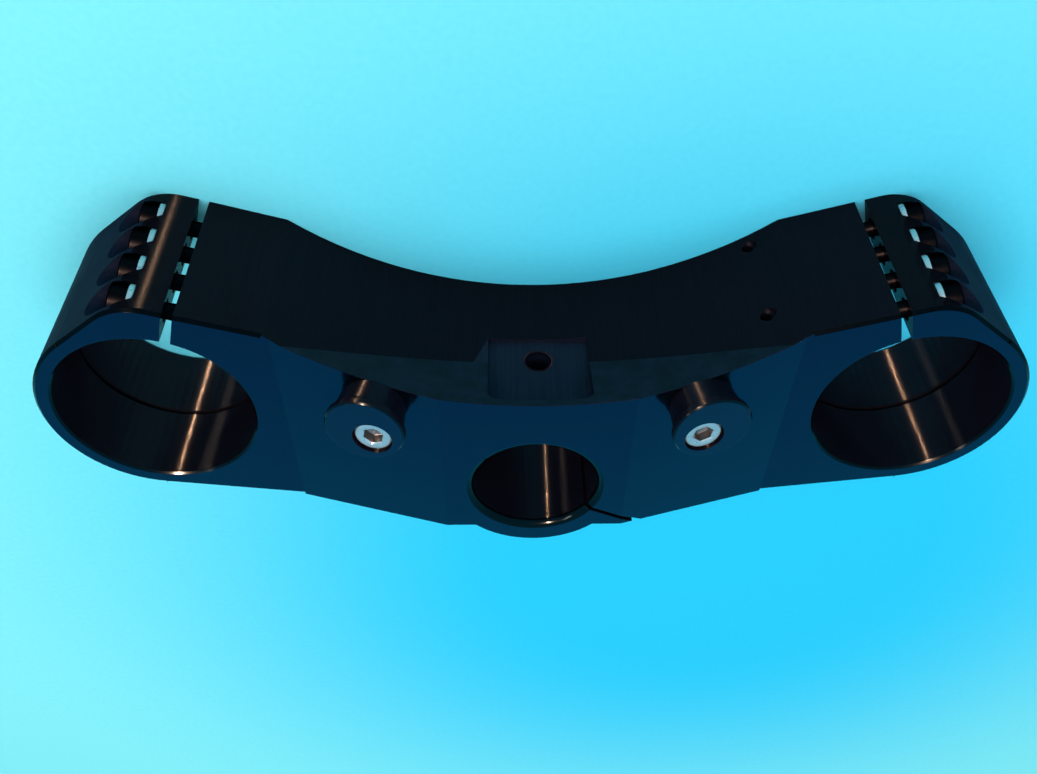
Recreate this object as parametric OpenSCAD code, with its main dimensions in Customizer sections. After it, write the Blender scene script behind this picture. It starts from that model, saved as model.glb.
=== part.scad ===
// Lower triple clamp of a motorcycle: a machined yoke that clamps two fork legs and the steering stem.
// The stem bore runs along Z, the front of the machine is -Y, and the face with the steering stops is up.

/* [Fork clamps] */
// Distance between the two fork bore axes
fork_spacing = 210; // [200:1:220]
// Distance of the fork axes ahead of the stem axis
fork_offset = 25.5; // [23:0.5:28]
// Diameter of each fork bore
fork_bore_d = 54; // [52:0.5:56]
// Wall round the outside of each fork bore
clamp_wall = 4.75; // [4.25:0.25:6]
// Height of the fork clamps
clamp_height = 48.5; // [46:0.5:54]
// Metal between a fork bore and the flat that the pinch slot opens through
clamp_lug = 10; // [9.5:0.25:11]
// Sweep of that front flat from the X axis
flat_sweep = 16.6; // [14:0.2:18]
// Turn from the front flat to the slanted shoulder
shoulder_turn = 53.6; // [50:0.2:56]
// Radius of the corner between front flat and shoulder
shoulder_r = 15; // [12:0.5:17]
// Width of the pinch slot
slot_w = 2.8; // [2.4:0.1:3.6]
// Shift of the slot from the bore axis, away from the screw heads
slot_shift = 1.2; // [0:0.2:2]
// Width of the oil groove half way down each fork bore
groove_w = 1.6; // [1.2:0.1:3]
// Depth of that groove
groove_depth = 0.8; // [0.5:0.1:1.2]

/* [Pinch screws] */
// Thread diameter of the fork pinch screws
pinch_d = 6; // [5:0.5:6]
// Distance between neighbouring pinch screws
pinch_pitch = 11.4; // [11:0.2:11.8]
// Depth of the screw axes behind the front flat
pinch_depth = 5; // [4.75:0.25:5.5]
// Length of the pinch screws under the head
pinch_len = 30; // [26:1:30]

/* [Front arch] */
// Half width of the concave arch in the front wall
arch_half = 71; // [68:0.5:73]
// Depth of the arch at the middle
arch_depth = 24.6; // [22:0.2:26]
// Height at the middle where the wall starts to lean forward
nose_start = 34; // [30:0.5:38]
// Forward lean of that upper wall
nose_lean = 15; // [8:0.5:18]
// Radius of the leaning wall
nose_r = 141; // [135:1:160]

/* [Top face] */
// Half width of the flat round the stem bore
flat_half = 26.5; // [24:0.5:30]
// Distance from the middle at which each wing meets the fork clamp
wing_end = 69.5; // [67:0.5:71]
// Slope of each wing
wing_slope = 10; // [6:0.5:11]
// Width of the broken edge round the fork clamps
edge_break = 0.9; // [0.4:0.1:1.4]

/* [Stem clamp] */
// Diameter of the stem bore
stem_bore_d = 36; // [34:0.5:36.5]
// Rounding of the upper rim of the stem bore
stem_round = 2.5; // [1:0.5:3]
// Wall behind the stem bore
stem_wall = 7.25; // [5.5:0.25:8]
// Distance of the flat rear face behind the stem axis
rear_face = 18; // [17:0.25:19]
// Width of the stem pinch slit
slit_w = 1.5; // [1:0.1:2.5]
// Angle of the slit from the X axis
slit_angle = 26; // [22:1:30]
// Distance of the slit behind the stem axis
slit_offset = 1.8; // [0:0.2:3]
// Thread diameter of the two stem pinch screws
stem_screw_d = 5; // [4:0.5:5]
// Length of the stem pinch screws under the head
stem_screw_len = 16; // [14:1:18]

/* [Steering stops] */
// Distance of each stop screw from the middle
stop_x = 42.2; // [41:0.2:44]
// Distance of each stop screw ahead of the stem axis
stop_y = 30.5; // [28:0.5:31]
// Diameter of the stop disc
stop_disc_d = 21.6; // [20:0.2:24]
// Overall height of a stop
stop_height = 10; // [8.5:0.25:12]
// Diameter of a stop where it stands on the wing
stop_base_d = 18; // [17.5:0.25:20]
// Throw of the disc: inboard shift of the screw from its middle
throw_x = 2; // [1:0.2:2.4]
// Throw of the disc: rearward shift of the screw from its middle
throw_y = 2.6; // [1:0.2:2.8]
// Thread diameter of the stop screws
stop_screw_d = 6; // [5:0.5:6]
// Length of the stop screws under the head
stop_screw_len = 20; // [16:1:24]

/* [Threaded holes] */
// Width of the flat pad milled into the middle of the front wall
pad_w = 28.6; // [24:0.2:32]
// Shift of the pad and its hole to the left of the middle
pad_shift = -0.8; // [-1:0.2:1]
// Lowest height of the pad
pad_bottom = 24.5; // [22:0.5:27]
// Rim of metal left between the pad and the top face
pad_rim = 2.8; // [2:0.1:4]
// Radius of the pad's upper corners
pad_corner = 3; // [2:0.25:4]
// Depth of the pad under the arch at the middle
pad_depth = 0.7; // [0.4:0.1:1.2]
// Bore of the threaded hole in the pad
pad_hole_d = 6.8; // [5:0.1:7]
// Height of that hole
pad_hole_z = 32.5; // [31:0.5:35]
// Depth of that hole
pad_hole_depth = 7; // [6:0.25:7]
// Bore of the two small threaded holes
guide_hole_d = 3.3; // [2.5:0.1:4.2]
// Distance of the two small holes from the middle
guide_hole_x = 62.5; // [60:0.5:65]
// Height of the lower small hole
guide_hole_z = 5; // [4:0.25:8]
// Distance between the two small holes
guide_hole_pitch = 29.5; // [25:0.5:32]
// Depth of the small holes
guide_hole_depth = 10; // [6:0.5:14]

/* [Hidden] */
$fn = 96;
cut = 1;                  // how far a cutter reaches past the metal it cuts
rim_chamfer = 0.6;        // chamfer on the fork bores
stem_round_lift = 0.06;   // the rounding of the stem bore meets the top face at a slight angle
hole_chamfer = 0.7;       // chamfer on the threaded holes
screw_gap = 0.1;          // what a threaded hole is wider than its screw
pass_gap = 0.6;           // what a clearance hole is wider than its screw
head_gap = 0.6;           // what a counterbore is wider than its screw head
bore_web = 0.87;          // metal left between a counterbore and the fork bore
pinch_count = 4;
drill_run = 2;            // how far a threaded hole goes on past its screw
stop_cb_gap = 0.8;        // what the counterbore of a stop is wider than its screw head
stop_head_drop = 0.8;     // how far the head lies under the face of a stop
rim_h = 1.6;              // cylindrical edge of a stop disc
rim_break = 0.45;         // chamfers of that edge
stem_head_seat = 2.5;     // metal left between the head of a stem screw and the slit
stem_screw_out = 26;      // distance of the stem screws from the stem axis, along the slit
stem_screw_z1 = 0.27;     // heights of the stem screws as shares of the middle height
stem_screw_z2 = 0.73;

fork_r = fork_bore_d / 2;
clamp_r = fork_r + clamp_wall;
flat_reach = fork_r + clamp_lug;
fork = [fork_spacing / 2, -fork_offset];
stem_r = stem_bore_d / 2;
stem_boss_r = stem_r + stem_wall;
rise = (wing_end - flat_half) * tan(wing_slope);
top = clamp_height + rise;

// A point given from a fork axis, x along the front flat and y square to it, in the plan of the left half
function clamp_pt(p) = fork + [p[0] * cos(flat_sweep) + p[1] * sin(flat_sweep),
    -p[0] * sin(flat_sweep) + p[1] * cos(flat_sweep)];
function unit(a) = [cos(a), sin(a)];

// Outline of the left clamp: flat, round corner, shoulder, then the wall round the bore
shoulder_n = unit(shoulder_turn - 90);
corner_x = (clamp_r - shoulder_r - cos(shoulder_turn) * (flat_reach - shoulder_r)) / sin(shoulder_turn);
corner = [corner_x, -(flat_reach - shoulder_r)];
flat_end = [corner_x, -flat_reach];
shoulder_start = corner + shoulder_r * shoulder_n;
shoulder_end = clamp_r * shoulder_n;
arch_end_x = (arch_half - fork[0] + flat_reach * sin(flat_sweep)) / cos(flat_sweep);
arch_end = clamp_pt([arch_end_x, -flat_reach]);
rear_corner = [flat_half, rear_face];
rear_run = rear_corner - fork;
rear_a = atan2(rear_run[1], rear_run[0]) - acos(clamp_r / norm(rear_run));
rear_tangent = fork + clamp_r * unit(rear_a);

arch_r = (arch_half * arch_half + arch_depth * arch_depth) / (2 * arch_depth);
arch_y = arch_end[1] + arch_depth;

// Pinch screws, in the frame of a clamp
pinch_y = -(flat_reach - pinch_depth);
pinch_head_d = pinch_d * 5 / 3;
pinch_cb_r = (pinch_head_d + head_gap) / 2;
pinch_seat = sqrt(max(pow(fork_r + bore_web, 2) - pow(-pinch_y - pinch_cb_r, 2), pow(slot_w, 2)));
function pinch_z(i) = clamp_height / 2 + (i - (pinch_count + 1) / 2) * pinch_pitch;

// Steering stops, each square to its wing
stop_z = clamp_height + (wing_end - stop_x) * tan(wing_slope);
stop_head_d = stop_screw_d * 5 / 3;
stop_cb_d = stop_head_d + stop_cb_gap;
stop_seat = stop_height - stop_head_drop - stop_screw_d;

// Stem pinch screws, square to the slit
stem_head_d = stem_screw_d * 1.7;
stem_slit_run = 60;
function stem_screw_z(i) = top * (i == 1 ? stem_screw_z1 : stem_screw_z2);

// Place children in the frame of the left (1) or right (-1) clamp
module at_clamp(side) {
    mirror([side < 0 ? 1 : 0, 0, 0])
        translate([fork[0], fork[1], 0]) rotate([0, 0, -flat_sweep]) children();
}

// Place children on a pinch screw axis, with +Z towards its head
module at_pinch(side, i) {
    at_clamp(side) translate([0, pinch_y, pinch_z(i)]) rotate([0, 90, 0]) children();
}

// Place children on a stop screw axis, with +Z square to the wing
module at_stop(side) {
    mirror([side < 0 ? 1 : 0, 0, 0])
        translate([stop_x, -stop_y, stop_z]) rotate([0, wing_slope, 0]) children();
}

// Place children on a stem screw axis: the slit is at z = 0 and the head is on +Z
module at_stem_screw(i) {
    rotate([0, 0, 180 - slit_angle]) translate([stem_screw_out, -slit_offset, stem_screw_z(i)])
        rotate([90, 0, 0]) children();
}

module half_outline() {
    polygon([[-cut, arch_end[1]], arch_end, clamp_pt(flat_end), clamp_pt(shoulder_start),
        clamp_pt(shoulder_end), rear_tangent, rear_corner, [-cut, rear_face]]);
    translate(clamp_pt(corner)) circle(r = shoulder_r);
    translate(fork) circle(r = clamp_r);
}

module outline() {
    half_outline();
    mirror([1, 0]) half_outline();
    circle(r = stem_boss_r);
}

// Cutter that breaks the top edge of a straight side from a to b, with the metal on its left
module break_line(a, b, z, c) {
    run = b - a;
    translate([a[0], a[1], 0]) rotate([0, 0, atan2(run[1], run[0])]) rotate([90, 0, 90])
        linear_extrude(norm(run)) polygon([[-cut, z - c - cut], [c + cut, z + cut], [-cut, z + cut]]);
}

// Cutter that breaks the top edge of a round side
module break_arc(r, from, to, z, c) {
    rotate([0, 0, from]) rotate_extrude(angle = to - from)
        polygon([[r + cut, z - c - cut], [r - c - cut, z + cut], [r + cut, z + cut]]);
}

module clamp_edge_cut() {
    z = clamp_height;
    break_line(arch_end, clamp_pt(flat_end), z, edge_break);
    translate(concat(clamp_pt(corner), 0))
        break_arc(shoulder_r, -90 - flat_sweep, shoulder_turn - 90 - flat_sweep, z, edge_break);
    break_line(clamp_pt(shoulder_start), clamp_pt(shoulder_end), z, edge_break);
    translate(concat(fork, 0))
        break_arc(clamp_r, shoulder_turn - 90 - flat_sweep, rear_a, z, edge_break);
    end = rear_tangent + (rear_corner - rear_tangent) * (rear_tangent[0] - wing_end)
        / (rear_tangent[0] - rear_corner[0]);
    break_line(rear_tangent, end, z, edge_break);
}

// Air above the stepped top face: level clamps, sloping wings and the raised middle
module top_cut() {
    far = fork[0] + clamp_r + cut;
    back = stem_boss_r + cut;
    reach = back + fork_offset + flat_reach + shoulder_r;
    translate([0, back, 0]) rotate([90, 0, 0]) linear_extrude(reach)
        polygon([[-far, clamp_height], [-wing_end, clamp_height], [-flat_half, top], [flat_half, top],
            [wing_end, clamp_height], [far, clamp_height], [far, top + cut], [-far, top + cut]]);
}

// Air in front of the arch: the wall is upright below and leans forward towards the top
module arch_cut() {
    intersection() {
        translate([0, arch_y - arch_r, -cut]) cylinder(r = arch_r, h = top + 2 * cut, $fn = 240);
        translate([0, arch_y, nose_start]) rotate([nose_lean, 0, 0])
            translate([0, -nose_r, -2 * top])
                cylinder(r = nose_r, h = 4 * top, $fn = 240);
    }
}

module chamfered_bore(r, h) {
    translate([0, 0, -cut]) cylinder(r = r, h = h + 2 * cut);
    translate([0, 0, -cut]) cylinder(r1 = r + rim_chamfer + cut, r2 = r, h = rim_chamfer + cut);
    translate([0, 0, h - rim_chamfer]) cylinder(r1 = r, r2 = r + rim_chamfer + cut, h = rim_chamfer + cut);
}

// The stem bore is rounded on the top face only
module stem_bore_cut() {
    translate([0, 0, -cut]) cylinder(r = stem_r, h = top + 2 * cut);
    translate([0, 0, top - stem_round + stem_round_lift]) difference() {
        cylinder(r = stem_r + stem_round, h = stem_round + cut);
        rotate_extrude() translate([stem_r + stem_round, 0]) circle(r = stem_round);
    }
}

module fork_bore_cut() {
    chamfered_bore(fork_r, clamp_height);
    translate([0, 0, (clamp_height - groove_w) / 2]) cylinder(r = fork_r + groove_depth, h = groove_w);
    translate([-slot_shift - slot_w / 2, -flat_reach - cut, -cut])
        cube([slot_w, flat_reach + cut, clamp_height + 2 * cut]);
}

// Threaded end, clearance hole and open counterbore of one pinch screw
module pinch_hole_cut() {
    tip = pinch_seat - pinch_len - drill_run;
    thread_d = pinch_d + screw_gap;
    translate([0, 0, tip]) cylinder(d = thread_d, h = -slot_shift - tip);
    translate([0, 0, tip - thread_d / 3]) cylinder(d1 = 0, d2 = thread_d, h = thread_d / 3);
    translate([0, 0, -slot_shift]) cylinder(d = pinch_d + pass_gap, h = pinch_seat + slot_shift + cut);
    translate([0, 0, pinch_seat]) cylinder(r = pinch_cb_r, h = clamp_r + shoulder_r);
}

module stop_hole_cut() {
    depth = stop_screw_len - stop_seat + drill_run;
    thread_d = stop_screw_d + screw_gap;
    translate([0, 0, -depth]) cylinder(d = thread_d, h = depth + cut);
    translate([0, 0, -depth - thread_d / 3]) cylinder(d1 = 0, d2 = thread_d, h = thread_d / 3);
}

// A threaded hole bored along +Z from its mouth, with a chamfer
module threaded_hole_cut(d, depth, mouth) {
    translate([0, 0, -mouth]) cylinder(d = d, h = depth + mouth);
    translate([0, 0, depth]) cylinder(d1 = d, d2 = 0, h = d / 3);
    translate([0, 0, -mouth]) cylinder(d = d + 2 * hole_chamfer, h = mouth);
    cylinder(d1 = d + 2 * hole_chamfer, d2 = d, h = hole_chamfer);
}

// Flat pad in the middle of the front wall, with its threaded hole
module pad_cut() {
    pad_top = top - pad_rim;
    floor_y = arch_y + pad_depth;
    reach = (top - nose_start) * tan(nose_lean) + arch_depth;
    translate([pad_shift, floor_y, 0]) rotate([90, 0, 0]) linear_extrude(reach) {
        translate([-pad_w / 2, pad_bottom]) square([pad_w, pad_top - pad_corner - pad_bottom]);
        translate([-pad_w / 2 + pad_corner, pad_top - 2 * pad_corner])
            square([pad_w - 2 * pad_corner, 2 * pad_corner]);
        for (s = [-1, 1])
            translate([s * (pad_w / 2 - pad_corner), pad_top - pad_corner]) circle(r = pad_corner);
    }
    translate([pad_shift, floor_y, pad_hole_z]) rotate([-90, 0, 0])
        threaded_hole_cut(pad_hole_d, pad_hole_depth, cut);
}

module guide_holes_cut() {
    mouth_y = arch_y - arch_r + sqrt(arch_r * arch_r - guide_hole_x * guide_hole_x);
    for (i = [0, 1])
        translate([-guide_hole_x, mouth_y, guide_hole_z + i * guide_hole_pitch]) rotate([-90, 0, 0])
            threaded_hole_cut(guide_hole_d, guide_hole_depth, 2 * cut);
}

// Slit that lets the stem clamp close, with its two screw holes
module stem_slit_cut() {
    rotate([0, 0, 180 - slit_angle]) translate([0, -slit_offset - slit_w / 2, -cut])
        cube([stem_slit_run, slit_w, top + 2 * cut]);
    for (i = [1, 2]) at_stem_screw(i) {
        depth = stem_screw_len - stem_head_seat - slit_w / 2 + drill_run;
        thread_d = stem_screw_d + screw_gap;
        translate([0, 0, -depth]) cylinder(d = thread_d, h = depth);
        translate([0, 0, -depth - thread_d / 3]) cylinder(d1 = 0, d2 = thread_d, h = thread_d / 3);
        cylinder(d = stem_screw_d + pass_gap, h = stem_head_seat + slit_w);
        translate([0, 0, stem_head_seat + slit_w / 2])
            cylinder(d = stem_head_d + head_gap, h = stem_slit_run);
    }
}

module yoke_body() {
    color([0.09, 0.1, 0.11]) difference() {
        linear_extrude(top) outline();
        top_cut();
        arch_cut();
        for (side = [1, -1]) {
            mirror([side < 0 ? 1 : 0, 0, 0]) clamp_edge_cut();
            at_clamp(side) fork_bore_cut();
            for (i = [1:pinch_count]) at_pinch(side, i) pinch_hole_cut();
            at_stop(side) stop_hole_cut();
        }
        stem_bore_cut();
        stem_slit_cut();
        pad_cut();
        guide_holes_cut();
    }
}

// A socket head cap screw along Z, with the underside of its head at z = 0
module cap_screw(d, head_d, len) {
    head_break = 0.08 * d;
    tip_break = 0.12 * d;
    socket_d = 0.96 * d;
    socket_depth = 0.5 * d;
    color([0.78, 0.8, 0.82]) difference() {
        union() {
            cylinder(d = head_d, h = d - head_break);
            translate([0, 0, d - head_break])
                cylinder(d1 = head_d, d2 = head_d - 2 * head_break, h = head_break);
            translate([0, 0, -len + tip_break]) cylinder(d = d, h = len - tip_break);
            translate([0, 0, -len]) cylinder(d1 = d - 2 * tip_break, d2 = d, h = tip_break);
        }
        translate([0, 0, d - socket_depth]) cylinder(d = socket_d, h = socket_depth + cut, $fn = 6);
    }
}

module pinch_screw(side, i) {
    at_pinch(side, i) translate([0, 0, pinch_seat]) cap_screw(pinch_d, pinch_head_d, pinch_len);
}

// Round stop that widens to a disc and stands off centre on its screw, so that turning it shifts the steering lock
module steering_stop(side) {
    disc_r = stop_disc_d / 2;
    flare_h = stop_height - rim_h - 2 * rim_break;
    color([0.1, 0.1, 0.11]) at_stop(side) difference() {
        translate([throw_x, -throw_y, 0]) {
            cylinder(d1 = stop_base_d, d2 = stop_disc_d - 4 * rim_break, h = flare_h);
            translate([0, 0, flare_h]) {
                cylinder(r1 = disc_r - rim_break, r2 = disc_r, h = rim_break);
                translate([0, 0, rim_break]) cylinder(r = disc_r, h = rim_h);
                translate([0, 0, rim_break + rim_h])
                    cylinder(r1 = disc_r, r2 = disc_r - rim_break, h = rim_break);
            }
        }
        translate([0, 0, -cut]) cylinder(d = stop_screw_d + pass_gap, h = stop_height + 2 * cut);
        translate([0, 0, stop_seat]) cylinder(d = stop_cb_d, h = stop_height);
    }
}

module stop_screw(side) {
    at_stop(side) translate([0, 0, stop_seat]) cap_screw(stop_screw_d, stop_head_d, stop_screw_len);
}

module stem_pinch_screw(i) {
    at_stem_screw(i) translate([0, 0, stem_head_seat + slit_w / 2])
        cap_screw(stem_screw_d, stem_head_d, stem_screw_len);
}

yoke_body();
pinch_screw(1, 1);  // pinch_screw_left_1
pinch_screw(1, 2);  // pinch_screw_left_2
pinch_screw(1, 3);  // pinch_screw_left_3
pinch_screw(1, 4);  // pinch_screw_left_4
pinch_screw(-1, 1);  // pinch_screw_right_1
pinch_screw(-1, 2);  // pinch_screw_right_2
pinch_screw(-1, 3);  // pinch_screw_right_3
pinch_screw(-1, 4);  // pinch_screw_right_4
steering_stop(1);  // steering_stop_left
steering_stop(-1);  // steering_stop_right
stop_screw(1);  // stop_screw_left
stop_screw(-1);  // stop_screw_right
stem_pinch_screw(1);  // stem_pinch_screw_1
stem_pinch_screw(2);  // stem_pinch_screw_2
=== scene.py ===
"""Looks of a lower fork yoke: black anodised body, socket head screws, two eccentric steering stops."""

import math

import bmesh
import bpy
from bpy.props import FloatProperty, FloatVectorProperty, IntProperty, PointerProperty
from mathutils import Matrix, Vector


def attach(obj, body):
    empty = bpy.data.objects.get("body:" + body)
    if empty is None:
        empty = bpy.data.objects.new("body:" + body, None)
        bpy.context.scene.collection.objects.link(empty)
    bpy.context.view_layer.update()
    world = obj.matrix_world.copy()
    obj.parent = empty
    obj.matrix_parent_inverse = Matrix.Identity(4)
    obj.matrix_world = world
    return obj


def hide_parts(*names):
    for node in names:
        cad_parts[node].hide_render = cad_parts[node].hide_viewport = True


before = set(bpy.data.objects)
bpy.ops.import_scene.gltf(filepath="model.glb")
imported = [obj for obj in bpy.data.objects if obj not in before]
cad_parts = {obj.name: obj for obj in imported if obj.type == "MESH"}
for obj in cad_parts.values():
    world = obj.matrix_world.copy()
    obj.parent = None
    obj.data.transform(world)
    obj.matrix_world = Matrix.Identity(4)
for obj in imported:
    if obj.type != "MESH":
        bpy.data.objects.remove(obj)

bl_info = {
    "name": "Fork Yoke Looks",
    "version": (1, 0, 0),
    "blender": (4, 5, 0),
    "location": "3D View > Sidebar > Fork Yoke",
    "description": "Dresses a packed fork yoke with its finishes, threaded screws and a studio",
    "category": "Object",
}

MM = 0.001
SIDES = ((1, "left"), (-1, "right"))

# Where the machined features lie, in millimetres, with the stem axis as origin
FORK_X, FORK_Y = 105.0, -25.5
FORK_BORE_R = 27.0
STEM_BORE_R = 18.0
STEM_ROUND = 2.5
STEM_ROUND_Z = 53.3
CLAMP_TURN = 16.6
CLAMP_TOP = 48.5
SLOT_OUT_X = 94.6
CORNER_X = (95.5, 102.5)
CORNER_Y = -52.0
NOSE_HALF_X, NOSE_BACK_Y, NOSE_TOP = 69.0, -33.0, 50.0
PAD_BOX = ((-15.5, -32.0, 24.0), (15.5, -20.0, 53.5))
WING_SLOPE = 10.0

# Screws and stops, in millimetres
PINCH_Y = -32.0
PINCH_SEAT = 7.990
PINCH_Z = (7.15, 18.55, 29.95, 41.35)
PINCH_LENGTH = 30.0
# Height of the bright collar under a pinch screw's head: a painted highlight on the black screw
PINCH_HIGHLIGHT_COLLAR = 1.4
SCOOP_R, SCOOP_RUN = 5.45, 40.0
STOP_AT = (42.2, -30.5, 53.3137)
STOP_SEAT = 3.2
STOP_SCREW_LENGTH = 20.0
SCREW_D, SCREW_HEAD_D = 6.0, 10.0

# A rolled thread: its depth as a share of its pitch, and the rings that one turn is made of
THREAD_DEPTH = 0.61
THREAD_STEPS = 8

# Rims of threaded holes: name, centre, direction out of the face, inner and outer radius
HOLE_RIMS = (
    ("pad_hole_rim", (-0.8, -28.673, 32.5), (0, -1, 0), 3.4, 4.15),
)

# Sizes of the surface patterns, in metres
BORE_FEED = 0.4 * MM
DUST_GRAIN = 0.35 * MM

# Casts of the reflections in the rounded rims and in the broken edges
RIM_TINT = (0.8, 0.9, 1.0)
EDGE_TINT = (0.6, 0.8, 1.0)

# The card, in metres, with the spot behind the yoke round which its colour is painted deeper as shade
CARD_HALF = 3.0
CARD_GAP = 0.2 * MM
CARD_PAINTED_SHADE_AT = (-0.08, 0.12, 0.0)
CARD_PAINTED_SHADE_RUN = (0.08, 0.36)

# The camera, fitted to the bores and edges in the photograph: pixels, millimetres and degrees
PHOTO_WIDTH, FOCAL_LENGTH = 1037, 982.98
SENSOR_WIDTH = 36.0
CAMERA_AT = (10.72, -227.03, 232.55)
CAMERA_ELEVATION, CAMERA_ROLL, CAMERA_YAW = 42.21, -0.30, -1.55
CAMERA_SHIFT = (-0.0062, 0.0253)


def linear(code):
    """Linear colour of an sRGB hex value."""
    parts = [int(code[i:i + 2], 16) / 255 for i in (1, 3, 5)]
    return tuple(c / 12.92 if c <= 0.04045 else ((c + 0.055) / 1.055) ** 2.4 for c in parts)


# Settings

class YokeFinish(bpy.types.PropertyGroup):
    """Colours and gloss of the anodised aluminium."""

    top_color: FloatVectorProperty(
        name="Top face", description="Dye of the polished and black anodised top face",
        subtype="COLOR", size=3, min=0, max=1, default=linear("#030507"))
    gloss_tint: FloatVectorProperty(
        name="Gloss tint", description="Blue cast that the dyed oxide gives to reflections",
        subtype="COLOR", size=3, min=0, max=1, default=linear("#50a1ff"))
    wall_color: FloatVectorProperty(
        name="Milled wall", description="Dye of the walls that the side of the cutter milled",
        subtype="COLOR", size=3, min=0, max=1, default=linear("#130c13"))
    # The outer sides get a lighter, bluer colour than the milled wall: a painted sheen, which the scoops
    # share
    side_color_with_sheen: FloatVectorProperty(
        name="Outer sides", description="Dye of the outer sides and of the scoops for the screw heads",
        subtype="COLOR", size=3, min=0, max=1, default=linear("#1d1f2f"))
    pad_color: FloatVectorProperty(
        name="Pad", description="Dye of the flat pad in the front, a little greyer than the wall",
        subtype="COLOR", size=3, min=0, max=1, default=linear("#20222f"))
    bore_color: FloatVectorProperty(
        name="Bores", description="Dye of the turned bores",
        subtype="COLOR", size=3, min=0, max=1, default=linear("#190e1a"))
    nose_color: FloatVectorProperty(
        name="Nose", description="Dye of the leaning nose, which came out greyer",
        subtype="COLOR", size=3, min=0, max=1, default=linear("#0d0c17"))
    stop_color: FloatVectorProperty(
        name="Stops", description="Dye of the two turned steering stops",
        subtype="COLOR", size=3, min=0, max=1, default=linear("#070c10"))
    top_roughness: FloatProperty(
        name="Top roughness", description="Blur of the reflections in the top face",
        min=0, max=1, default=0.12)
    mill_pitch: FloatProperty(
        name="Mill line pitch", description="Distance between the lines that the cutter left",
        unit="LENGTH", min=0.0001, max=0.005, default=0.0006)


class ScrewFinish(bpy.types.PropertyGroup):
    """Sizes and colours of the socket head screws."""

    color: FloatVectorProperty(
        name="Plating", description="Colour of the bright zinc plating",
        subtype="COLOR", size=3, min=0, max=1, default=linear("#c2c2c6"))
    black_color: FloatVectorProperty(
        name="Black oxide", description="Colour of the blackened fork pinch screws",
        subtype="COLOR", size=3, min=0, max=1, default=linear("#0c0c0f"))
    thread_pitch: FloatProperty(
        name="Thread pitch", description="Rise of one turn of the thread on the largest screws",
        unit="LENGTH", min=0.0005, max=0.002, default=0.001)
    head_edge: FloatProperty(
        name="Head edge", description="Radius of the rounded rim of a screw head",
        unit="LENGTH", min=0.0001, max=0.002, default=0.0006)
    segments: IntProperty(
        name="Segments", description="Faces round a screw, a multiple of six",
        min=24, max=96, default=48)


class StudioLook(bpy.types.PropertyGroup):
    """Backdrop and lamps."""

    paper_color: FloatVectorProperty(
        name="Paper", description="Pale card that the part lies on",
        subtype="COLOR", size=3, min=0, max=1, default=linear("#9cf9fb"))
    # The deep end of the card is painted shade round a spot behind the yoke
    paper_shade: FloatVectorProperty(
        name="Paper, deep end", description="Deeper colour of the card near the rear of the yoke",
        subtype="COLOR", size=3, min=0, max=1, default=linear("#24d2fb"))
    sky_color: FloatVectorProperty(
        name="Fill colour", description="Colour of the soft light from all round",
        subtype="COLOR", size=3, min=0, max=1, default=(0.32, 0.86, 1.0))
    sky_strength: FloatProperty(
        name="Fill", description="Strength of the soft light from all round",
        min=0, max=3, default=0.4)
    key_power: FloatProperty(
        name="Key lamp", description="Power of the large soft lamp overhead",
        min=0, max=100, subtype="POWER", default=16.8)
    window_power: FloatProperty(
        name="Window", description="Power of the pale window that only shows as gleams",
        min=0, max=200, subtype="POWER", default=4.0)
    gleam: FloatProperty(
        name="Warm lamp", description="Strength of the far warm lamp that only shows as gleams",
        min=0, max=50, default=13.0)


# Helpers

def add_node(tree, kind, links=(), **values):
    """Adds a shader node: values go to sockets where a socket has that name, and else to settings."""
    node = tree.nodes.new(kind)
    for key, value in values.items():
        name = key.replace("_", " ").title()
        socket = next((s for s in node.inputs if s.enabled and s.name.title() == name), None)
        if socket is not None:
            if socket.type == "RGBA" and len(value) == 3:
                value = (*value, 1)
            socket.default_value = value
        else:
            setattr(node, key, value)
    for source, target in links:
        tree.links.new(source, node.inputs[target])
    return node


def start_material(name):
    """An empty material, its node tree and the object's own coordinates."""
    mat = bpy.data.materials.new(name)
    mat.use_nodes = True
    tree = mat.node_tree
    tree.nodes.clear()
    return mat, tree, add_node(tree, "ShaderNodeTexCoord").outputs["Object"]


def end_material(mat, tree, links, **values):
    """Puts the surface shader in a material."""
    body = add_node(tree, "ShaderNodeBsdfPrincipled", links, **values)
    add_node(tree, "ShaderNodeOutputMaterial", [(body.outputs["BSDF"], "Surface")])
    return mat


def calc(tree, operation, *values):
    """A maths node that works on other nodes' outputs and on plain numbers."""
    node = add_node(tree, "ShaderNodeMath", operation=operation)
    for socket, value in zip(node.inputs, values):
        if isinstance(value, (int, float)):
            socket.default_value = value
        else:
            tree.links.new(value, socket)
    return node.outputs[0]


def cloud(tree, where, size, detail, **more):
    """A cloudy pattern with patches about size metres wide."""
    node = add_node(tree, "ShaderNodeTexNoise", [(where, "Vector")],
                    scale=1 / size, detail=detail, **more)
    return node.outputs["Fac"]


def stretch(tree, pattern, low, high, start=0.0, end=1.0, **more):
    """Maps the part of a pattern between start and end to values from low to high."""
    node = add_node(tree, "ShaderNodeMapRange", [(pattern, "Value")], **more)
    for name, value in (("From Min", start), ("From Max", end), ("To Min", low), ("To Max", high)):
        node.inputs[name].default_value = value
    return node.outputs["Result"]


def two_tone(tree, pattern, low, high):
    """Blends two colours by a pattern."""
    mix = add_node(tree, "ShaderNodeMix", [(pattern, "Factor")], data_type="RGBA")
    mix.inputs["A"].default_value = (*low, 1)
    mix.inputs["B"].default_value = (*high, 1)
    return mix.outputs["Result"]


def toned(color, factor):
    """A colour made lighter or darker."""
    return [min(1.0, c * factor) for c in color]


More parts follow.
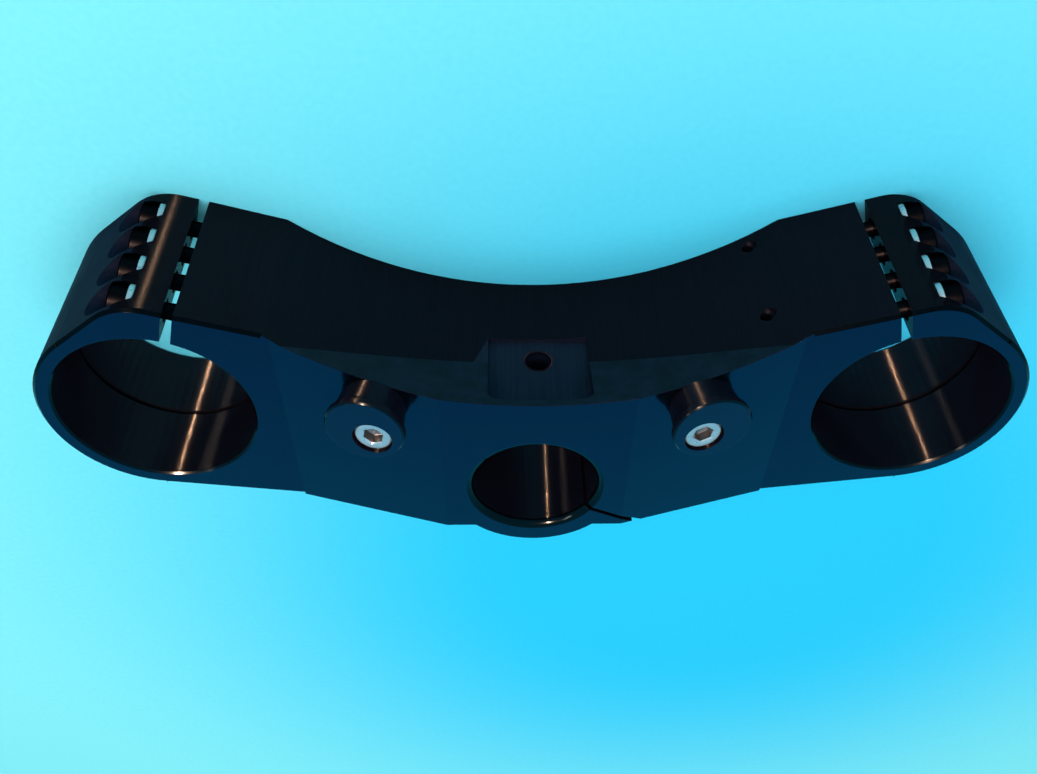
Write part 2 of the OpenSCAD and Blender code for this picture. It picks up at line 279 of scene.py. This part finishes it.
def soft_edge(tree, pattern, radius, strength, depth):
    """Normal with the edges broken by a radius and a pattern raised on it."""
    edge = add_node(tree, "ShaderNodeBevel", samples=4, radius=radius)
    bump = add_node(tree, "ShaderNodeBump", [(pattern, "Height"), (edge.outputs["Normal"], "Normal")],
                    strength=strength, distance=depth)
    return bump.outputs["Normal"]


def add_object(name, data):
    """Adds an object to the scene."""
    obj = bpy.data.objects.new(name, data)
    bpy.context.scene.collection.objects.link(obj)
    return obj


def new_piece(name, mesh):
    """Links a mesh into the scene as a new object."""
    obj = add_object(name, mesh)
    return obj


def smooth(mesh, degrees):
    """Smooth shading that stays sharp over edges steeper than an angle."""
    for face in mesh.polygons:
        face.use_smooth = True
    mesh.set_sharp_from_angle(angle=math.radians(degrees))


# Materials

def grooved_normal(tree, where, pitch, slope, turn_in):
    """Normal of a surface cut in fine level grooves: it swings up and down, and never sideways.

    With turn_in, the wall outboard of each fork slot also turns gently towards its corner."""
    apart = add_node(tree, "ShaderNodeSeparateXYZ", [(where, "Vector")])
    turns = calc(tree, "MULTIPLY", apart.outputs["Z"], 2 * math.pi / pitch)
    wave = calc(tree, "SINE", calc(tree, "ADD", turns, cloud(tree, where, 4 * MM, 1.0)))
    swing = calc(tree, "MULTIPLY", wave, slope)
    start, end = CORNER_X
    blend = stretch(tree, calc(tree, "ABSOLUTE", apart.outputs["X"]), 0.0, turn_in,
                    start=start * MM, end=end * MM)
    turn = calc(tree, "MULTIPLY", blend, calc(tree, "SIGN", apart.outputs["X"]))
    lift = add_node(tree, "ShaderNodeCombineXYZ", [(turn, "X"), (swing, "Z")])
    flat = add_node(tree, "ShaderNodeNewGeometry").outputs["Normal"]
    both = add_node(tree, "ShaderNodeVectorMath", [(flat, 0), (lift.outputs["Vector"], 1)],
                    operation="ADD")
    unit = add_node(tree, "ShaderNodeVectorMath", [(both.outputs["Vector"], 0)], operation="NORMALIZE")
    return unit.outputs["Vector"]


def polished_anodised(name, color, tint, level, roughness, speck=0.0):
    """Polished aluminium, dyed black and sealed: the clear oxide is glossy over a dark body.

    Fine rolling haze and dust specks keep the reflection from looking like glass."""
    mat, tree, where = start_material(name)
    haze = stretch(tree, cloud(tree, where, 9 * MM, 3.0), roughness * 0.75, roughness * 1.4)
    grain = cloud(tree, where, DUST_GRAIN, 4.0)
    dust = stretch(tree, grain, 0.0, speck, start=0.66, end=0.8)
    return end_material(mat, tree, [
        (two_tone(tree, dust, color, linear("#7f8a92")), "Base Color"), (haze, "Roughness"),
        (soft_edge(tree, grain, radius=0.25 * MM, strength=0.04, depth=0.02 * MM), "Normal")],
        ior=1.76, metallic=0.0, specular_ior_level=level, specular_tint=tint)


def milled_anodised(name, color, pitch, level):
    """Walls cut by the side of an end mill, then dyed: dull black, with fine lines along the tool."""
    mat, tree, where = start_material(name)
    drawn_out = add_node(tree, "ShaderNodeMapping", [(where, "Vector")])
    drawn_out.inputs["Scale"].default_value = (1.0, 1.0, 0.02)
    lines = cloud(tree, drawn_out.outputs["Vector"], pitch, 3.0, roughness=0.6)
    shade = stretch(tree, lines, 0.0, 1.0, start=0.3, end=0.7)
    gloss = stretch(tree, cloud(tree, where, 14 * MM, 2.0), 0.38, 0.56)
    return end_material(mat, tree, [
        (two_tone(tree, shade, toned(color, 0.8), toned(color, 1.25)), "Base Color"),
        (gloss, "Roughness"),
        (soft_edge(tree, lines, radius=0.4 * MM, strength=0.3, depth=0.05 * MM), "Normal")],
        ior=1.45, metallic=0.0, specular_ior_level=level, specular_tint=(0.6, 0.72, 1.0))


def matte_anodised(name, color):
    """A contour milled in small steps and etched before the dye: greyer, and mottled by the etch."""
    mat, tree, where = start_material(name)
    blot = cloud(tree, where, 5 * MM, 5.0, roughness=0.65)
    shade = stretch(tree, blot, 0.0, 1.0, start=0.35, end=0.7)
    fine = cloud(tree, where, 0.5 * MM, 3.0)
    return end_material(mat, tree, [
        (two_tone(tree, shade, toned(color, 0.7), toned(color, 2.6)), "Base Color"),
        (soft_edge(tree, fine, radius=0.5 * MM, strength=0.25, depth=0.05 * MM), "Normal")],
        ior=1.5, metallic=0.0, roughness=0.42, specular_ior_level=0.06)


def bored_anodised(name, color, level, blur, turn_in=0.0):
    """Bores turned with a fine feed, then dyed: the grooves draw a lamp out into a long streak.

    The feed is drawn coarser than it is, so that it still shows."""
    mat, tree, where = start_material(name)
    haze = cloud(tree, where, 7 * MM, 2.0)
    return end_material(mat, tree, [
        (two_tone(tree, haze, toned(color, 0.7), toned(color, 1.3)), "Base Color"),
        (stretch(tree, haze, blur * 0.85, blur * 1.15), "Roughness"),
        (grooved_normal(tree, where, BORE_FEED, 1.3, turn_in), "Normal")],
        ior=1.6, metallic=0.0, specular_ior_level=level)


def zinc_plated_steel(name, color, metallic):
    """Cold headed steel with bright zinc: a soft silver with a faint cloud and tool scratches."""
    mat, tree, where = start_material(name)
    haze = cloud(tree, where, 1.6 * MM, 4.0)
    bump = add_node(tree, "ShaderNodeBump", [(haze, "Height")], strength=0.1, distance=0.05 * MM)
    return end_material(mat, tree, [
        (two_tone(tree, haze, toned(color, 0.82), color), "Base Color"),
        (stretch(tree, haze, 0.2, 0.4), "Roughness"),
        (bump.outputs["Normal"], "Normal")], metallic=metallic)


def black_oxide_steel(name, color):
    """Steel blackened in a hot salt bath and oiled, with a satin gleam on the thread crests."""
    mat, tree, where = start_material(name)
    haze = cloud(tree, where, 1.2 * MM, 4.0)
    return end_material(mat, tree, [
        (two_tone(tree, haze, toned(color, 0.6), color), "Base Color"),
        (stretch(tree, haze, 0.25, 0.42), "Roughness")],
        metallic=1.0, specular_tint=(0.22, 0.22, 0.26))


# Meshes

def circle(radius, count):
    """Points round a circle."""
    turns = [2 * math.pi * i / count for i in range(count)]
    return [(radius * math.cos(turn), radius * math.sin(turn)) for turn in turns]


def hexagon(across, count):
    """Points round a hexagon, given its width across the corners."""
    points = []
    for i in range(count):
        turn = 2 * math.pi * i / count
        side = math.fmod(turn, math.pi / 3) - math.pi / 6
        r = across / 2 * math.cos(math.pi / 6) / math.cos(side)
        points.append((r * math.cos(turn), r * math.sin(turn)))
    return points


def skin(bm, rings):
    """Joins rings of points, each with its height, by bands of faces."""
    layers = [[bm.verts.new((x, y, z)) for x, y in points] for points, z in rings]
    bands = []
    for low, high in zip(layers, layers[1:]):
        following = zip(low, low[1:] + low[:1], high[1:] + high[:1], high)
        bands.append([bm.faces.new(corners) for corners in following])
    return layers, bands


def mesh_of(bm, name, degrees):
    """Turns a built shape into a smooth mesh."""
    mesh = bpy.data.meshes.new(name)
    bm.to_mesh(mesh)
    bm.free()
    smooth(mesh, degrees)
    return mesh


def thread_rings(r, low, high, pitch, count):
    """Rings of a rolled thread between two heights, which fades in and out over one turn."""
    steps = THREAD_STEPS
    depth = THREAD_DEPTH * pitch
    total = int((high - low) / pitch * steps)
    rings = []
    for k in range(total + 1):
        fade = min(1.0, k / steps, (total - k) / steps)
        tip = (1 - min(1.0, k / steps)) * depth
        points = []
        for i in range(count):
            wave = 1 - abs(2 * math.fmod(k / steps + i / count, 1.0) - 1)
            crest = r - depth * (1 - min(1.0, 1.25 * wave)) * fade - tip
            turn = 2 * math.pi * i / count
            points.append((crest * math.cos(turn), crest * math.sin(turn)))
        rings.append((points, low + (high - low) * k / total))
    return rings


def cap_screw_mesh(name, d, head_d, length, pitch, edge, count, highlight_collar=0.0, socket_slot=0):
    """Socket head cap screw in metres: the head's underside is at z = 0 and the thread is below it.

    A collar is a bright washer face of that height under a slimmer head, and takes the second material;
    on the black pinch screws this bright face is a painted highlight.
    The socket takes the material of socket_slot. The plain part of the shank is waisted."""
    r, head_r = d / 2, head_d / 2
    tip_r, waist_r, neck_r = r * 0.6, r * 0.76, r * 0.9
    plain = max(0.0, length - 3 * d)
    rings = [(circle(tip_r, count), -length)]
    rings += thread_rings(r, -length, -plain, pitch, count)

    def turned(*profile):
        rings.extend((circle(radius, count), z) for radius, z in profile)

    if plain > 0:
        turned((waist_r, -plain + 0.1 * d), (waist_r, -0.3 * d), (neck_r, -0.1 * d))
    turned((r, 0), (head_r - 0.04 * d, 0), (head_r, 0.04 * d))
    highlight_collar_start = len(rings) - 2
    if highlight_collar > 0:
        slim_r = head_r - 0.05 * d
        turned((head_r, highlight_collar), (slim_r, highlight_collar), (slim_r, highlight_collar + 0.03 * d))
        head_r = slim_r
    highlight_collar_end = len(rings) - 2
    for k in range(7):
        turn = math.pi / 2 * k / 6
        turned((head_r - edge * (1 - math.cos(turn)), d - edge * (1 - math.sin(turn))))
    socket = 0.96 * d
    turned((socket / 2 * 1.03 + edge * 0.4, d))
    for across, z in ((socket, 0.94 * d), (socket, 0.52 * d), (socket * 0.94, 0.5 * d)):
        rings.append((hexagon(across, count), z))
    turned((socket * 0.1, 0.42 * d))

    bm = bmesh.new()
    layers, bands = skin(bm, rings)
    if highlight_collar > 0:
        for band in bands[highlight_collar_start:highlight_collar_end]:
            for face in band:
                face.material_index = 1
    for band in bands[-3:]:
        for face in band:
            face.material_index = socket_slot
    bm.faces.new(list(reversed(layers[0])))
    bm.faces.new(layers[-1])
    bmesh.ops.recalc_face_normals(bm, faces=bm.faces)
    return mesh_of(bm, name, 38)


def rim_mesh(name, inner, outer):
    """A low rim round a hole: it rises from the face, rounds over and dips into the hole."""
    rise = 0.06 * MM
    profile = ((outer, 0.0), (outer - rise, rise), (outer - 3 * rise, rise),
               (inner, -0.2 * MM), (inner, -0.9 * MM))
    bm = bmesh.new()
    skin(bm, [(circle(r, 64), z) for r, z in profile])
    return mesh_of(bm, name, 60)


# Places

def along(point, direction, roll):
    """Matrix that puts a screw on a point, with its head in a direction, turned about itself."""
    turn = Vector(direction).to_track_quat("Z", "Y").to_matrix().to_4x4()
    return Matrix.Translation(Vector(point) * MM) @ turn @ Matrix.Rotation(roll, 4, "Z")


def pinch_place(side, z):
    """Seat and direction of a fork pinch screw."""
    c, s = math.cos(math.radians(CLAMP_TURN)), math.sin(math.radians(CLAMP_TURN))
    x = FORK_X + PINCH_SEAT * c + PINCH_Y * s
    y = FORK_Y - PINCH_SEAT * s + PINCH_Y * c
    return (side * x, y, z), (side * c, -s, 0)


def stop_place(side, height):
    """Point on the axis of a stop and the direction of that axis."""
    tilt = math.radians(WING_SLOPE)
    axis = (side * math.sin(tilt), 0, math.cos(tilt))
    x, y, z = STOP_AT
    return (side * x + axis[0] * height, y, z + axis[2] * height), axis


# Operators

class YOKE_OT_body(bpy.types.Operator):
    """Gives each machined surface of the yoke body its own anodised finish."""

    bl_idname = "yoke.finish_body"
    bl_label = "Finish Yoke Body"

    def execute(self, context):
        look = context.scene.yoke_finish
        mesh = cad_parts["yoke_body"].data
        alloy = "Black anodised aluminium, "
        top, pitch = look.top_color, look.mill_pitch
        mats = [
            polished_anodised(alloy + "polished", top, look.gloss_tint,
                              level=0.3, roughness=look.top_roughness, speck=0.1),
            milled_anodised(alloy + "side milled", look.wall_color, pitch, level=0.045),
            matte_anodised(alloy + "etched nose", look.nose_color),
            bored_anodised(alloy + "turned bore", look.bore_color, level=0.036, blur=0.085),
            polished_anodised(alloy + "rim", top, RIM_TINT, level=0.08, roughness=0.12),
            polished_anodised(alloy + "edge", top, EDGE_TINT, level=0.024, roughness=0.11),
            # Outer sides and scoops: a lighter, bluer colour than the other milled walls, as painted
            # sheen
            milled_anodised(alloy + "outer side", look.side_color_with_sheen, pitch, level=0.008),
            milled_anodised(alloy + "flat pad", look.pad_color, pitch, level=0.045),
            bored_anodised(alloy + "milled corner", look.wall_color,
                           level=0.012, blur=0.17, turn_in=0.24),
        ]
        mesh.materials.clear()
        for mat in mats:
            mesh.materials.append(mat)
        for face in mesh.polygons:
            face.material_index = self.finish_of(face.normal, face.center / MM)
        smooth(mesh, 24)
        return {"FINISHED"}

    def finish_of(self, n, c):
        """Which finish a face has, from its normal and its centre in millimetres."""
        polished, milled, nose, bore, rim, edge, outer, pad, corner = range(9)
        fork = min((c.xy - Vector((side * FORK_X, FORK_Y))).length for side, _ in SIDES)
        stem = c.xy.length
        upright = abs(n.z) < 0.2
        if upright and (fork < FORK_BORE_R + 0.3 or stem < STEM_BORE_R + 0.1):
            return bore
        if stem < STEM_BORE_R + STEM_ROUND + 0.1 and c.z > STEM_ROUND_Z:
            return rim if n.z < 0.995 else polished
        in_nose = abs(c.x) < NOSE_HALF_X
        leaning = in_nose and c.y < NOSE_BACK_Y and c.z < NOSE_TOP and n.z < 0.6
        if n.z > 0.3 and c.z > CLAMP_TOP - 1.2 and not leaning:
            return polished if n.z > 0.97 else rim if fork < FORK_BORE_R + 1.2 else edge
        if in_nose and n.y < -0.3 and n.z < -0.02:
            return nose
        if all(low < at < high for low, at, high in zip(PAD_BOX[0], c, PAD_BOX[1])):
            return pad if n.y < -0.9 else outer
        if self.in_scoop(c):
            return outer
        outboard = abs(c.x) > SLOT_OUT_X
        outward = n.x if c.x > 0 else -n.x
        if outboard and upright and c.y < CORNER_Y and outward < 0.25:
            return corner
        return outer if outboard and outward > 0.2 and fork > FORK_BORE_R + 1.5 else milled

    def in_scoop(self, c):
        """Whether a point lies on the wall of a scoop for a pinch screw's head."""
        for side, _ in SIDES:
            for z in PINCH_Z:
                seat, axis = (Vector(v) for v in pinch_place(side, z))
                run = (c - seat).dot(axis)
                if -0.3 < run < SCOOP_RUN and (c - seat - axis * run).length < SCOOP_R:
                    return True
        return False


class YOKE_OT_stops(bpy.types.Operator):
    """Finishes the two turned steering stops."""

    bl_idname = "yoke.finish_stops"
    bl_label = "Finish Steering Stops"

    def execute(self, context):
        look = context.scene.yoke_finish
        alloy = "Black anodised aluminium, "
        mats = [
            polished_anodised(alloy + "turned", look.stop_color, look.gloss_tint,
                              level=0.3, roughness=0.1, speck=0.05),
            bored_anodised(alloy + "turned side", look.bore_color, level=0.028, blur=0.18),
            polished_anodised(alloy + "rounded rim", look.top_color, RIM_TINT,
                              level=0.1, roughness=0.13),
        ]
        cap, wall, rim = range(3)
        for side, word in SIDES:
            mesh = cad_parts["steering_stop_" + word].data
            mesh.materials.clear()
            for mat in mats:
                mesh.materials.append(mat)
            axis = Vector(stop_place(side, 0)[1])
            for face in mesh.polygons:
                up = abs(face.normal.dot(axis))
                face.material_index = wall if up < 0.25 else rim if up < 0.97 else cap
            smooth(mesh, 24)
        return {"FINISHED"}


class YOKE_OT_screws(bpy.types.Operator):
    """Makes the fork pinch screws and the stop screws with their threads, in place of the plain ones."""

    bl_idname = "yoke.make_screws"
    bl_label = "Make Socket Screws"

    def execute(self, context):
        look = context.scene.yoke_screws
        zinc = zinc_plated_steel("Zinc plated steel, cold headed", look.color, 0.6)
        # The socket is the same plating made darker: painted shade in the recess
        socket = zinc_plated_steel("Zinc plated steel, broached socket", toned(look.color, 0.3), 0.6)
        black = black_oxide_steel("Black oxide steel, rolled thread", look.black_color)
        shape = (look.thread_pitch, look.head_edge, look.segments // 6 * 6)
        pinch = cap_screw_mesh("pinch_screw_threaded", SCREW_D * MM, SCREW_HEAD_D * MM,
                               PINCH_LENGTH * MM, *shape, highlight_collar=PINCH_HIGHLIGHT_COLLAR * MM)
        stop = cap_screw_mesh("stop_screw_threaded", SCREW_D * MM, SCREW_HEAD_D * MM,
                              STOP_SCREW_LENGTH * MM, *shape, socket_slot=1)
        # Pinch screws: black oxide, with a bright zinc collar as a painted highlight
        for mesh, mats in ((pinch, (black, zinc)), (stop, (zinc, socket))):
            for mat in mats:
                mesh.materials.append(mat)
        for side, word in SIDES:
            for i, z in enumerate(PINCH_Z, 1):
                point, axis = pinch_place(side, z)
                self.put(f"pinch_screw_{word}_{i}", pinch, along(point, axis, 0.4 * i + side))
            point, axis = stop_place(side, STOP_SEAT)
            self.put("stop_screw_" + word, stop, along(point, axis, 0.35 + 0.5 * side))
        return {"FINISHED"}

    def put(self, node, mesh, place):
        """Places one screw and lets it stand for its CAD node."""
        obj = new_piece(node + "_threaded", mesh)
        obj.matrix_world = place
        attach(obj, "root")
        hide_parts(node)


class YOKE_OT_stem_screws(bpy.types.Operator):
    """Finishes the two stem pinch screws at the rear."""

    bl_idname = "yoke.finish_stem_screws"
    bl_label = "Finish Stem Screws"

    def execute(self, context):
        mat = zinc_plated_steel("Zinc plated steel, rear screws", context.scene.yoke_screws.color, 0.8)
        for i in (1, 2):
            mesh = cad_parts[f"stem_pinch_screw_{i}"].data
            mesh.materials.clear()
            mesh.materials.append(mat)
            smooth(mesh, 30)
        return {"FINISHED"}


class YOKE_OT_hole_rims(bpy.types.Operator):
    """Adds the countersunk rim of the threaded hole in the pad."""

    bl_idname = "yoke.make_hole_rims"
    bl_label = "Make Hole Rims"

    def execute(self, context):
        look = context.scene.yoke_finish
        mat = bored_anodised("Black anodised aluminium, countersunk rim", look.bore_color,
                             level=0.012, blur=0.3)
        for name, at, out, inner, outer in HOLE_RIMS:
            mesh = rim_mesh(name, inner * MM, outer * MM)
            mesh.materials.append(mat)
            obj = new_piece(name, mesh)
            obj.matrix_world = along(at, out, 0)
            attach(obj, "root")
        return {"FINISHED"}


class YOKE_OT_stage(bpy.types.Operator):
    """Sets up the card, the soft lamps and the camera."""

    bl_idname = "yoke.set_stage"
    bl_label = "Set Studio Stage"

    def execute(self, context):
        look = context.scene.yoke_studio
        self.floor(look)
        self.world(look)
        self.lamps(look)
        self.camera()
        context.scene.view_settings.view_transform = "Standard"
        return {"FINISHED"}

    def floor(self, look):
        """Flat card a hair under the yoke, with painted shade: deeper in colour round a spot behind it,
        paler further out.
        """
        bm = bmesh.new()
        bmesh.ops.create_grid(bm, x_segments=2, y_segments=2, size=CARD_HALF)
        mesh = bpy.data.meshes.new("card")
        bm.to_mesh(mesh)
        bm.free()
        obj = add_object("card", mesh)
        obj.location.z = -CARD_GAP
        mat, tree, where = start_material("Coloured card, matt")
        fibre = two_tone(tree, cloud(tree, where, 2 * MM, 3.0), (0.78, 0.93, 0.96), (1, 1, 1))
        # Painted shade: the card turns deeper towards a spot behind the yoke and paler away from it
        away = add_node(tree, "ShaderNodeVectorMath", [(where, 0)], operation="DISTANCE")
        away.inputs[1].default_value = CARD_PAINTED_SHADE_AT
        run = stretch(tree, away.outputs["Value"], 0.0, 1.0, *CARD_PAINTED_SHADE_RUN,
                      interpolation_type="SMOOTHSTEP")
        painted_shade_tone = two_tone(tree, run, look.paper_shade, look.paper_color)
        both = add_node(tree, "ShaderNodeMix", data_type="RGBA", blend_type="MULTIPLY")
        both.inputs["Factor"].default_value = 1.0
        tree.links.new(painted_shade_tone, both.inputs["A"])
        tree.links.new(fibre, both.inputs["B"])
        end_material(mat, tree, [(both.outputs["Result"], "Base Color")],
                     roughness=0.9, specular_ior_level=0.1)
        mesh.materials.append(mat)

    def world(self, look):
        """Pale blue fill light; the camera and the gloss see the card's colour all round."""
        world = bpy.data.worlds.new("studio")
        world.use_nodes = True
        tree = world.node_tree
        tree.nodes.clear()
        path = add_node(tree, "ShaderNodeLightPath").outputs
        seen = calc(tree, "MAXIMUM", path["Is Camera Ray"], path["Is Glossy Ray"])
        seen = calc(tree, "MAXIMUM", seen, path["Is Transmission Ray"])
        fill = add_node(tree, "ShaderNodeBackground", color=look.sky_color, strength=look.sky_strength)
        card = add_node(tree, "ShaderNodeBackground", color=look.paper_shade, strength=1.0)
        mix = add_node(tree, "ShaderNodeMixShader", [
            (seen, 0), (fill.outputs[0], 1), (card.outputs[0], 2)])
        add_node(tree, "ShaderNodeOutputWorld", [(mix.outputs[0], "Surface")])
        bpy.context.scene.world = world

    def lamps(self, look):
        """A large soft lamp overhead, and two that only show as gleams.

        The far warm one runs along the bores and rims. The pale window at the left leg's side whitens
        the rounded rims that face it."""
        key = self.lamp("key", "AREA", (0.1, -0.2, 1.4), look.key_power, size=1.0, size_y=1.0)
        key.visible_glossy = False
        warm = self.lamp("warm_lamp", "SUN", (0.292, -0.58, 0.76), look.gleam,
                         angle=math.radians(1.8), color=linear("#ffc9a0"))
        window = self.lamp("window", "AREA", (0.76, -0.34, 0.9), look.window_power,
                           size=0.12, size_y=0.4, color=linear("#ffe6d2"))
        for obj in (warm, window):
            obj.visible_diffuse = False

    def lamp(self, name, kind, at, energy, **values):
        """One lamp that stands at a point and faces the yoke. A sun only takes its direction from it."""
        data = bpy.data.lights.new(name, kind)
        if kind == "AREA":
            data.shape = "RECTANGLE"
        data.energy = energy
        for key, value in values.items():
            setattr(data, key, value)
        obj = add_object(name, data)
        obj.location = at
        obj.rotation_euler = (-Vector(at)).to_track_quat("-Z", "Y").to_euler()
        return obj

    def camera(self):
        """Camera from the front and above, held upside down as in the photograph."""
        data = bpy.data.cameras.new("camera")
        data.sensor_width = SENSOR_WIDTH
        data.lens = FOCAL_LENGTH / PHOTO_WIDTH * SENSOR_WIDTH
        data.shift_x, data.shift_y = CAMERA_SHIFT
        data.clip_start, data.clip_end = 0.01, 20
        el, roll, yaw = (math.radians(a) for a in (CAMERA_ELEVATION, CAMERA_ROLL, CAMERA_YAW))
        base = Matrix((
            (-1, 0, 0),
            (0, math.sin(el), math.cos(el)),
            (0, math.cos(el), -math.sin(el))))
        right, down, ahead = Matrix.Rotation(roll, 3, "Z") @ Matrix.Rotation(yaw, 3, "Y") @ base
        turn = Matrix((right, -down, -ahead)).transposed()
        obj = add_object("camera", data)
        obj.matrix_world = Matrix.Translation(Vector(CAMERA_AT) * MM) @ turn.to_4x4()
        bpy.context.scene.camera = obj


class YOKE_PT_panel(bpy.types.Panel):
    """Lists the settings and steps of the yoke's looks."""

    bl_idname = "YOKE_PT_panel"
    bl_label = "Fork Yoke"
    bl_space_type = "VIEW_3D"
    bl_region_type = "UI"
    bl_category = "Fork Yoke"

    def draw(self, context):
        layout = self.layout
        for name in SETTINGS:
            group = getattr(context.scene, name)
            box = layout.box()
            for key in group.__annotations__:
                box.prop(group, key)
        for step in STEPS:
            layout.operator(step.bl_idname)


SETTINGS = {"yoke_finish": YokeFinish, "yoke_screws": ScrewFinish, "yoke_studio": StudioLook}
STEPS = (YOKE_OT_body, YOKE_OT_stops, YOKE_OT_screws, YOKE_OT_stem_screws, YOKE_OT_hole_rims,
         YOKE_OT_stage)
CLASSES = (*SETTINGS.values(), *STEPS, YOKE_PT_panel)


def register():
    for cls in CLASSES:
        bpy.utils.register_class(cls)
    for name, cls in SETTINGS.items():
        setattr(bpy.types.Scene, name, PointerProperty(type=cls))


def unregister():
    for name in SETTINGS:
        delattr(bpy.types.Scene, name)
    for cls in reversed(CLASSES):
        bpy.utils.unregister_class(cls)


def main():
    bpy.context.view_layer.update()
    register()
    bpy.ops.yoke.finish_body()
    bpy.ops.yoke.finish_stops()
    bpy.ops.yoke.make_screws()
    bpy.ops.yoke.finish_stem_screws()
    bpy.ops.yoke.make_hole_rims()
    bpy.ops.yoke.set_stage()


if __name__ == "__main__":
    main()
